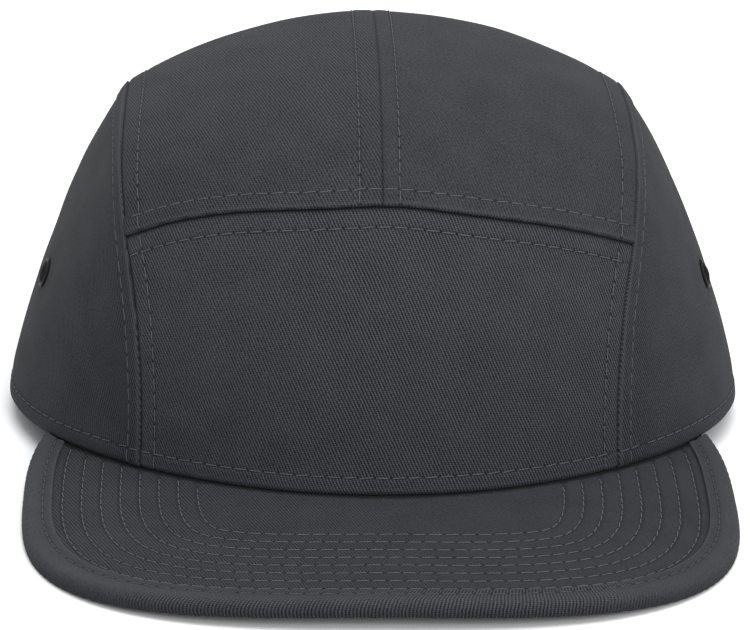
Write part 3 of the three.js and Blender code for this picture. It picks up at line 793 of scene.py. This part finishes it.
half_turns = np.concatenate([np.linspace(0, 1, 60), np.linspace(1, 2, 120)[1:], [3 - BAND_END_SHARE]])
band_turn = np.concatenate([half_turns[:0:-1], half_turns])
band_side = np.concatenate([-np.ones(len(half_turns) - 1), np.ones(len(half_turns))])
band_z = spread(BAND_HIGH - BAND_LOW, fine_near(BAND_HIGH - BAND_LOW)) + BAND_LOW
band = ring(band_turn[None], band_z[:, None], band_side[None])
band_in = outward(band)
from_top = BAND_HIGH - band[..., 2]
band_run = flat_cloth(band, 0)
band_rows = [(from_top, BAND_ROW, 0)]
pull, band_marks, band_places = needle_rows(band, band_rows)
band_relief = turned_edge(from_top, BAND_ROW, 0.1, 0.0) - pull * 0.6
band_outer = band - band_in * (PANEL_CLOTH + BAND_GAP)
band_inner = band_outer - band_in * (BAND_CLOTH - 0.15 + band_relief)[..., None]
band_twill = twill_material("charcoal band twill", BAND_COLOUR, 0.6, angle=math.radians(45), pitch=0.7)
# Painted highlight along the band's turned top edge.
band_marks["fold_highlight"] = closeness(from_top, 0.4, 0.6) * 0.5
band_mesh = cloth_mesh("sweatband_cloth", band_inner, band_outer, band_run, band_marks)
piece("sweatband_cloth", band_mesh, band_twill, ["sweatband"])
stitching("sweatband_stitching", thread, [(band_inner, -band_in, band_rows[0], band_places[0])])

# Visor
# A flat plastic board between two faces of twill, held by eight rows of stitches that follow its edge.
# Its back edge is sewn in under the hem of the front and side panels.
VISOR_HALF_WIDTH = 88.3
VISOR_CENTRE = -80.0
VISOR_REACH = 82.4
VISOR_SQUARENESS = 2.9
VISOR_SLOPE = math.tan(math.radians(5.5))
VISOR_THICKNESS = 2.8
VISOR_SEAT_GAP = 0.3
BINDING_WIDTH = 7.3
BINDING_CLOTH = 0.65
BINDING_GAP = 0.25
VISOR_ROWS = 8
VISOR_ROW_STEP = 4.75
VISOR_FIRST_ROW = BINDING_WIDTH + 2.6
VISOR_THREAD_RADIUS = 0.115


def rim_front_y(x, grow=0.0):
    return -(RIM_FRONT + grow) * rim_share(x / (RIM_HALF_WIDTH + grow), -1)


def visor_z(x, y):
    """Height of the visor's upper face, which falls away from the crown's edge."""
    return -VISOR_SEAT_GAP - VISOR_SLOPE * np.maximum(0, rim_front_y(x) - y)


def evenly(curve, count):
    """The same curve in equal steps."""
    run = run_of(curve)
    place = np.linspace(0, run[-1], count)
    return np.stack([np.interp(place, run, curve[:, k]) for k in range(curve.shape[1])], -1)


def outline(inset, count, grow):
    """Visor's outline in plan, inset from its edge, from the wearer's left round the front to the right."""
    power = 2 / VISOR_SQUARENESS
    turn = np.linspace(-0.45, math.pi + 0.45, 1601)
    across = np.sign(np.cos(turn)) * np.abs(np.cos(turn)) ** power
    ahead = np.sign(np.sin(turn)) * np.abs(np.sin(turn)) ** power
    x = (VISOR_HALF_WIDTH - inset) * across
    y = VISOR_CENTRE - (VISOR_REACH - inset) * ahead
    keep = (y < 0) & (y < rim_front_y(x, grow))
    return evenly(np.stack([x[keep], y[keep]], -1), count)


VISOR_COLUMNS = 250
edge = outline(BINDING_CLOTH + BINDING_GAP, VISOR_COLUMNS, 0)
root_x = np.linspace(edge[0, 0] - PANEL_CLOTH, PANEL_CLOTH - edge[0, 0], 1601)
root = evenly(np.stack([root_x, rim_front_y(root_x, -PANEL_CLOTH)], -1), VISOR_COLUMNS)
visor_v = np.linspace(0, 1, 160)[:, None, None]
plan = root[None] * (1 - visor_v) + edge[None] * visor_v
visor_top = np.concatenate([plan, visor_z(plan[..., 0], plan[..., 1])[..., None]], -1)
flat_edge = outline(0.0, 500, 0)
flat_plan = np.concatenate([plan, np.zeros(plan.shape[:2] + (1,))], -1)
inset, edge_run = nearest(flat_plan, np.concatenate([flat_edge, np.zeros((500, 1))], -1))
in_front = smooth(0.0, 1.5, rim_front_y(plan[..., 0]) - plan[..., 1])
visor_rows = [(inset, VISOR_FIRST_ROW + k * VISOR_ROW_STEP, 0) for k in range(VISOR_ROWS)]
pull, visor_marks, visor_places = needle_rows(visor_top, visor_rows)
ease = 0.05 * np.sin(edge_run * 0.7 + 2 * np.sin(edge_run * 0.11)) * np.sin(inset * 1.32)
visor_relief = (ease - pull * 0.9) * in_front
up = np.array([0.0, 0.0, 1.0])
visor_face = visor_top + up * visor_relief[..., None]
visor_under = visor_top - up * (VISOR_THICKNESS + visor_relief)[..., None]
# The visor's copy of the twill is darker: painted shade, as less light reaches the visor beside the crown.
visor_shaded_colour = shade(TWILL_COLOUR, 0.89)
visor_twill = twill_material("charcoal twill of the visor", visor_shaded_colour, 0.75, angle=math.radians(70.5))
visor_marks["sewn"] *= in_front
# Painted shade just outside each row of stitches, and a painted shadow on the visor under the hem of the
# crown.
under_rows = sum(closeness(inset, value - 0.4, 0.3) for _, value, _ in visor_rows)
under_hem = 1 - smooth(0.4, 2.2, rim_front_y(plan[..., 0]) - plan[..., 1])
visor_marks["painted_shade"] = np.maximum(under_hem, 0.6 * under_rows)
visor_marks["nap"] = 0.1 + 0.6 * smooth(-40, 60, plan[..., 0])
visor_mesh = cloth_mesh("visor_cloth", visor_face, visor_under, plan, visor_marks)
piece("visor_cloth", visor_mesh, visor_twill, ["visor"])
upwards = np.zeros(visor_face.shape) + up
threads = []
for (field, value, axis), place in zip(visor_rows, visor_places):
    seen = (np.where(in_front > 0.02, field, np.nan), value, axis)
    threads += [(visor_face, upwards, seen, place), (visor_under, -upwards, seen, place)]
visor_thread = thread_material("lighter thread", (0.085, 0.088, 0.097, 1.0))
stitching("visor_stitching", visor_thread, threads, VISOR_THREAD_RADIUS)

# Visor binding
# A bias strip of the same twill folded over the visor's edge, with its own edges turned in, and held by one
# row of stitches through both sides. Its cloth is cut on the slant, so the ribs run across it.
BINDING_ROLL = 1.6
BINDING_END_GAP = 0.5
BINDING_ROW = 2.3
BINDING_COLUMNS = 400
BINDING_TOP = BINDING_GAP + BINDING_CLOTH
BINDING_BOTTOM = -VISOR_THICKNESS - BINDING_TOP
BINDING_MIDDLE = (BINDING_TOP + BINDING_BOTTOM) / 2
LIP = 0.25
BIAS_LEAN = 0.75

half = BINDING_TOP - BINDING_MIDDLE
upper_inset = np.concatenate(
    [
        [BINDING_WIDTH],
        BINDING_WIDTH - LIP * np.array([0.0, 0.3, 1.0]),
        np.linspace(BINDING_WIDTH - 0.9, BINDING_ROLL + 0.4, 14),
    ]
)
lip_rise = BINDING_TOP - LIP * np.array([1.0, 0.3, 0.0])
upper_rise = np.concatenate([[BINDING_GAP], lip_rise, np.full(14, BINDING_TOP)])
roll_turn = np.linspace(0, math.pi, 17)
roll_inset = BINDING_ROLL * (1 - np.sin(roll_turn) ** 0.9)
roll_rise = BINDING_MIDDLE + half * np.sign(np.cos(roll_turn)) * np.abs(np.cos(roll_turn)) ** 0.9
lower_rise = 2 * BINDING_MIDDLE - upper_rise[::-1]
section_inset = np.concatenate([upper_inset, roll_inset, upper_inset[::-1]])
section_rise = np.concatenate([upper_rise, roll_rise, lower_rise])
section_run = run_of(np.stack([section_inset, section_rise], -1))
binding_outer, binding_inner = [], []
for k, (inset_k, rise_k) in enumerate(zip(section_inset, section_rise)):
    curve = outline(inset_k, BINDING_COLUMNS, BINDING_END_GAP)
    binding_outer.append(np.concatenate([curve, (visor_z(*curve.T) + rise_k)[:, None]], -1))
    low_inset = min(max(inset_k, BINDING_CLOTH), BINDING_WIDTH)
    low_rise = min(max(rise_k, -VISOR_THICKNESS - BINDING_GAP), BINDING_GAP)
    curve = outline(low_inset, BINDING_COLUMNS, BINDING_END_GAP)
    binding_inner.append(np.concatenate([curve, (visor_z(*curve.T) + low_rise)[:, None]], -1))
binding_outer, binding_inner = np.array(binding_outer), np.array(binding_inner)
middle_line = (binding_outer + binding_inner).mean(0) / 2
binding_out = face_normals(binding_outer, binding_outer - middle_line[None])
binding_run = run_of(binding_outer[len(section_inset) // 2])
round_edge = section_run[len(section_run) // 2]
from_top_lip = np.minimum(section_run, round_edge)
lean = BIAS_LEAN * (from_top_lip - 0.7 * from_top_lip**3 / (3 * round_edge**2))
flat = np.stack(np.broadcast_arrays(binding_run[None] - lean[:, None], section_run[:, None]), -1)
from_lip = np.broadcast_to((BINDING_WIDTH - section_inset)[:, None], binding_outer.shape[:2])
over = np.broadcast_to((section_rise > BINDING_MIDDLE)[:, None], from_lip.shape)
binding_rows = [(np.where(part, from_lip, np.nan), BINDING_ROW, 0) for part in (over, ~over)]
pull, binding_marks, binding_places = needle_rows(binding_outer, binding_rows)
pucker = 0.06 * np.sin(binding_run * 1.9 + 1.5 * np.sin(binding_run * 0.13))
relief = pucker[None] * (section_inset < BINDING_ROW)[:, None] - pull
binding_face = binding_outer + binding_out * relief[..., None]
# Painted highlight along the lip's edge and on the upper part of the roll; painted shade over the binding's
# lower face.
edge_fold = closeness(section_inset, BINDING_WIDTH, 0.5) * (section_rise > BINDING_GAP)
binding_marks["fold_highlight"] = np.broadcast_to(edge_fold[:, None], relief.shape) * 0.6
upper_roll = closeness(section_run, round_edge * 0.6, round_edge * 0.25) * 0.35
binding_marks["fold_highlight"] = np.maximum(binding_marks["fold_highlight"], upper_roll[:, None])
binding_marks["nap"] = 0.8 * smooth(45, 72, np.abs(binding_outer[..., 0]))
binding_marks["painted_shade"] = 0.4 * smooth(round_edge * 0.8, round_edge * 1.15, section_run)[:, None] + 0 * relief
# The binding's copy of the twill is lighter: painted light, as the binding faces the front lamp.
bias_lit_colour = shade(TWILL_COLOUR, 1.05)
bias = twill_material("charcoal bias twill", bias_lit_colour, 1.1, angle=math.radians(90), pitch=0.88)
binding_mesh = cloth_mesh("visor_binding_cloth", binding_face, binding_inner, flat, binding_marks)
piece("visor_binding_cloth", binding_mesh, bias, ["visor_binding"])
threads = [(binding_face, binding_out, row, place) for row, place in zip(binding_rows, binding_places)]
stitching("visor_binding_stitching", thread, threads, VISOR_THREAD_RADIUS)

# Eyelets
# A vent on each side panel: a rolled ring of black lacquered metal round a small domed screen of wire.
EYELET_RISE = 1.3
SCREEN_RADIUS = 2.9
WIRE_RADIUS = 0.13
WIRE_STEP = 0.66


def lathe(profile, segments=48):
    """Closed ring turned from a closed profile of radius and height."""
    turn = np.linspace(0, 2 * math.pi, segments + 1)[:-1]
    out, height = np.array(profile).T
    points = np.stack([out[None] * np.cos(turn)[:, None], out[None] * np.sin(turn)[:, None]], -1)
    points = np.concatenate([points, np.broadcast_to(height[None, :, None], points.shape[:2] + (1,))], -1)
    index = np.arange(segments * len(profile)).reshape(segments, len(profile))
    ahead, beside = np.roll(index, -1, 0), np.roll(index, -1, 1)
    faces = np.stack([index, ahead, np.roll(ahead, -1, 1), beside], -1).reshape(-1, 4)
    return points.reshape(-1, 3), faces.tolist()


def tube(path, radius, sides=8):
    """Closed tube of a few sides along a path."""
    ahead = np.gradient(path, axis=0)
    ahead /= np.linalg.norm(ahead, axis=-1, keepdims=True)
    lift = np.broadcast_to([0.0, 0.0, 1.0], path.shape)
    beside = np.cross(ahead, lift)
    beside /= np.linalg.norm(beside, axis=-1, keepdims=True)
    above = np.cross(beside, ahead)
    turn = np.linspace(0, 2 * math.pi, sides + 1)[:-1]
    circle = np.cos(turn)[:, None] * beside[:, None] + np.sin(turn)[:, None] * above[:, None]
    points = (path[:, None] + radius * circle).reshape(-1, 3)
    index = np.arange(len(points)).reshape(len(path), sides)
    faces = np.stack([index[:-1], np.roll(index, -1, 1)[:-1], np.roll(index, -1, 1)[1:], index[1:]], -1)
    return points, faces.reshape(-1, 4).tolist() + [index[0, ::-1].tolist(), index[-1].tolist()]


ring_turn = np.linspace(0, 2 * math.pi, 17)[:-1]
ring_middle, ring_half = (EYELET_RADIUS + SCREEN_RADIUS) / 2, (EYELET_RADIUS - SCREEN_RADIUS) / 2
ring_profile = np.stack([ring_middle + ring_half * np.cos(ring_turn), 0.3 + 0.4 * np.sin(ring_turn)], -1)
parts = [lathe(ring_profile.tolist())]
for place in np.arange(-4, 5) * WIRE_STEP:
    reach = math.sqrt(max(0, (SCREEN_RADIUS + 0.25) ** 2 - place**2))
    run = np.linspace(-reach, reach, 15)
    dome = 0.25 + (EYELET_RISE - 0.35) * (1 - (run**2 + place**2) / (SCREEN_RADIUS + 0.25) ** 2)
    weave = 0.08 * np.cos(math.pi * run / WIRE_STEP + math.pi * round(place / WIRE_STEP))
    parts.append(tube(np.stack([run, np.full(15, place), dome + weave], -1), WIRE_RADIUS))
    parts.append(tube(np.stack([np.full(15, place), run, dome - weave], -1), WIRE_RADIUS))
backing = [[0.02, 0.05], [SCREEN_RADIUS + 0.2, 0.05], [SCREEN_RADIUS + 0.2, 0.2], [0.02, 0.2]]
parts.append(lathe(backing))
eyelet_points, eyelet_faces = [], []
for points, faces in parts:
    offset = sum(len(p) for p in eyelet_points)
    eyelet_points.append(points)
    eyelet_faces += [[offset + i for i in face] for face in faces]
eyelet_points = np.concatenate(eyelet_points)


def lacquer_material(name, colour, roughness, metallic):
    """Lacquered metal or moulded plastic with a fine uneven gloss."""
    material, start = new_material(name)
    place = start.node("ShaderNodeTexCoord", output=3)
    grain = start.node("ShaderNodeTexNoise", inputs={"Vector": place, "Scale": 900.0, "Detail": 3.0})
    smear = start.node("ShaderNodeTexNoise", inputs={"Vector": place, "Scale": 120.0, "Detail": 2.0})
    body = smear.mixed(shade(colour, 0.8), shade(colour, 1.35))
    gloss = roughness + (smear - 0.5) * 0.25
    bump = start.node("ShaderNodeBump", inputs={"Strength": 0.25, "Distance": 0.00004, "Height": grain})
    dull = {"metallic": metallic, "specular_ior_level": 0.1}
    surface_of(start, base_color=body, roughness=gloss, normal=bump, **dull)
    return material


black_metal = lacquer_material("black lacquered metal", (0.006, 0.006, 0.0065, 1.0), 0.45, 0.1)
nudge = 0.5
slope_y = (float(side_x(EYELET_BACK + nudge, EYELET_HEIGHT)) - eyelet_place[0]) / nudge
slope_z = (float(side_x(EYELET_BACK, EYELET_HEIGHT + nudge)) - eyelet_place[0]) / nudge
axis = np.array([1.0, -slope_y, -slope_z])
axis /= np.linalg.norm(axis)
level = np.cross([0.0, 1.0, 0.0], axis)
level /= np.linalg.norm(level)
upright = np.cross(axis, level)
for side, hand in ((1, "left"), (-1, "right")):
    x, y, z = eyelet_points.T
    placed = eyelet_place + x[:, None] * level + y[:, None] * upright + z[:, None] * axis
    placed = placed * (side, 1, 1)
    faces = eyelet_faces if side > 0 else [face[::-1] for face in eyelet_faces]
    name = f"eyelet_{hand}_vent"
    piece(name, mesh_of(name, placed, faces), black_metal, [f"eyelet_{hand}"])

# Strap
# Two ends of ribbed webbing, tucked behind the edges of the opening and sewn there, that lie across it at
# the back of the head.
STRAP_CLOTH = 1.3
STRAP_LOW = 4.0
STRAP_HIGH = 25.0
STRAP_TUCK_SHARE = 0.8
STRAP_END_SHARE = 0.12
STRAP_DEPTH = PANEL_CLOTH + BAND_GAP
STRAP_STEPS = 60


def rounded_block(from_share, to_share, low, high, outer, inner, corner, steps, ends=0.0):
    """Closed block bent round the back of the crown, with rounded edges and, if asked, rounded ends."""
    turn = np.linspace(0, 2 * math.pi, 65)[:-1]
    square = 2 / corner
    face = np.sign(np.cos(turn)) * np.abs(np.cos(turn)) ** square
    depth = np.sign(np.sin(turn)) * np.abs(np.sin(turn)) ** square
    t = np.linspace(0, 1, steps)
    w = from_share + (to_share - from_share) * t
    near_end = np.minimum(t, 1 - t) * (steps - 1)
    shrink = 1 - ends * np.exp(-near_end / 1.5)
    z = (low + high) / 2 + (high - low) / 2 * face[None] * (1 - 0.4 * (1 - shrink))[:, None]
    sink = (outer + inner) / 2 + (inner - outer) / 2 * depth[None] * shrink[:, None]
    share = np.broadcast_to(w[:, None], z.shape)
    base = ring(3 - np.abs(share), z, np.where(share < 0, -1.0, 1.0))
    points = base - outward(base) * sink[..., None]
    index = np.arange(points.shape[0] * points.shape[1]).reshape(points.shape[:2])
    ahead = np.roll(index, -1, 1)
    faces = np.stack([index[:-1], ahead[:-1], ahead[1:], index[1:]], -1).reshape(-1, 4).tolist()
    faces += [index[0, ::-1].tolist(), index[-1].tolist()]
    flat = np.stack([base[..., 0], z], -1).reshape(-1, 2)
    if to_share < from_share:
        faces = [face[::-1] for face in faces]
    return points.reshape(-1, 3), faces, flat


def webbing_material(name, colour):
    """Woven tape: small picks in ribs across its width."""
    material, start = new_material(name)
    flat = start.node("ShaderNodeUVMap", {"uv_map": "cloth"})
    across, upward = flat.part(0), flat.part(1)
    grain = start.node("ShaderNodeTexNoise", inputs={"Vector": flat, "Scale": 2.2, "Detail": 2.0})
    ridge = (across / 0.9 + upward.math("FLOOR") * 0.5).wave()
    height = ridge * 0.55 + upward.wave() * 0.45
    tone = height + (grain - 0.5) * 0.5
    body = tone.mixed(shade(colour, 0.5), shade(colour, 1.5))
    bump = start.node("ShaderNodeBump", inputs={"Strength": 1.0, "Distance": 0.00022, "Height": height})
    surface_of(start, base_color=body, roughness=0.85, specular_ior_level=0.2, normal=bump)
    return material


webbing = webbing_material("charcoal webbing", (0.042, 0.043, 0.048, 1.0))
for side, hand in ((1, "left"), (-1, "right")):
    points, faces, flat = rounded_block(
        side * STRAP_END_SHARE,
        side * STRAP_TUCK_SHARE,
        STRAP_LOW,
        STRAP_HIGH,
        STRAP_DEPTH,
        STRAP_DEPTH + STRAP_CLOTH,
        8.0,
        STRAP_STEPS,
    )
    name = f"strap_{hand}_webbing"
    piece(name, mesh_of(name, points, faces, flat), webbing, [f"strap_{hand}"])

# Clasp
# One plain moulded block of black plastic at the middle of the opening, which holds both straps. The photo
# hides it, so it has only rounded edges.
CLASP_HALF_SHARE = 0.27
CLASP_LIP = 2.2
CLASP_WALL = 1.4
CLASP_CLEARANCE = 0.3
black_plastic = lacquer_material("black moulded plastic", (0.014, 0.014, 0.015, 1.0), 0.48, 0.0)
clasp_points, clasp_faces, clasp_flat = rounded_block(
    -CLASP_HALF_SHARE,
    CLASP_HALF_SHARE,
    STRAP_LOW - CLASP_LIP,
    STRAP_HIGH + CLASP_LIP,
    STRAP_DEPTH - CLASP_CLEARANCE - CLASP_WALL,
    STRAP_DEPTH + STRAP_CLOTH + CLASP_CLEARANCE + CLASP_WALL,
    7.0,
    48,
    ends=0.45,
)
clasp_mesh = mesh_of("clasp_body", clasp_points, clasp_faces, clasp_flat)
piece("clasp_body", clasp_mesh, black_plastic, ["clasp"])

# Table, light and camera
# A plain pale table top that runs out of the picture, a broad soft light overhead with weaker ones in front,
# to the right and behind, and a camera a little to the left of the middle, looking down on the visor.
bpy.ops.mesh.primitive_plane_add(size=8.0, location=(0, 1.0, 0))
table = bpy.context.object
table.name = "table"
table_material, table_start = new_material("pale table")
surface_of(table_start, base_color=(0.8, 0.8, 0.81, 1.0), roughness=0.95, specular_ior_level=0.1)
table.data.materials.append(table_material)

world = bpy.data.worlds.new("studio")
world.use_nodes = True
world.node_tree.nodes["Background"].inputs["Color"].default_value = (0.96, 0.98, 1.0, 1.0)
world.node_tree.nodes["Background"].inputs["Strength"].default_value = 0.55
bpy.context.scene.world = world
bpy.context.scene.view_settings.view_transform = "Standard"


def soft_light(name, place, target, size, power):
    lamp = bpy.data.lights.new(name, "AREA")
    lamp.size = size
    lamp.energy = power
    made = bpy.data.objects.new(name, lamp)
    bpy.context.collection.objects.link(made)
    made.location = place
    heading = np.array(target) - np.array(place)
    made.rotation_euler = (
        math.atan2(math.hypot(heading[0], heading[1]), -heading[2]),
        0.0,
        math.atan2(heading[0], -heading[1]) + math.pi,
    )
    return made


soft_light("overhead", (0.15, -0.35, 1.9), (0, 0, 0.05), 1.6, 42)
soft_light("key", (1.3, -1.2, 1.0), (0, 0, 0.05), 1.0, 8)
soft_light("front", (0.4, -2.0, 0.95), (0, -0.02, 0.04), 1.0, 27)
soft_light("back", (-0.7, 2.2, 1.3), (0, 0.05, 0.04), 1.2, 16)

PHOTO_WIDTH = 750
PHOTO_HEIGHT = 630
PIXELS_PER_MM = 3.83
CAMERA_DISTANCE = 1.5
CAMERA_LIFT = math.radians(15.6) - STAND_TIP
CAMERA_TURN = math.radians(1.4)
CAMERA_ROLL = math.radians(0.55)
ORIGIN_PIXEL = (373.6, 390.5)
SENSOR = 36.0
rim_middle = stand([0.0, 0.0, 0.0])
toward_camera = np.array(
    [
        -math.sin(CAMERA_TURN) * math.cos(CAMERA_LIFT),
        -math.cos(CAMERA_TURN) * math.cos(CAMERA_LIFT),
        math.sin(CAMERA_LIFT),
    ]
)
camera_data = bpy.data.cameras.new("camera")
camera_data.sensor_width = SENSOR
camera_data.lens = PIXELS_PER_MM * 1000 * CAMERA_DISTANCE / PHOTO_WIDTH * SENSOR
camera_data.shift_x = (PHOTO_WIDTH / 2 - ORIGIN_PIXEL[0]) / PHOTO_WIDTH
camera = bpy.data.objects.new("camera", camera_data)
bpy.context.collection.objects.link(camera)
camera.location = rim_middle + toward_camera * CAMERA_DISTANCE
nod = math.atan((ORIGIN_PIXEL[1] - PHOTO_HEIGHT / 2) / (PIXELS_PER_MM * 1000 * CAMERA_DISTANCE))
camera.rotation_mode = "XYZ"
camera.rotation_euler = (math.pi / 2 - CAMERA_LIFT + nod, 0.0, -CAMERA_TURN)
bpy.context.view_layer.update()
camera.matrix_world = camera.matrix_world @ Matrix.Rotation(CAMERA_ROLL, 4, "Z")
bpy.context.scene.camera = camera
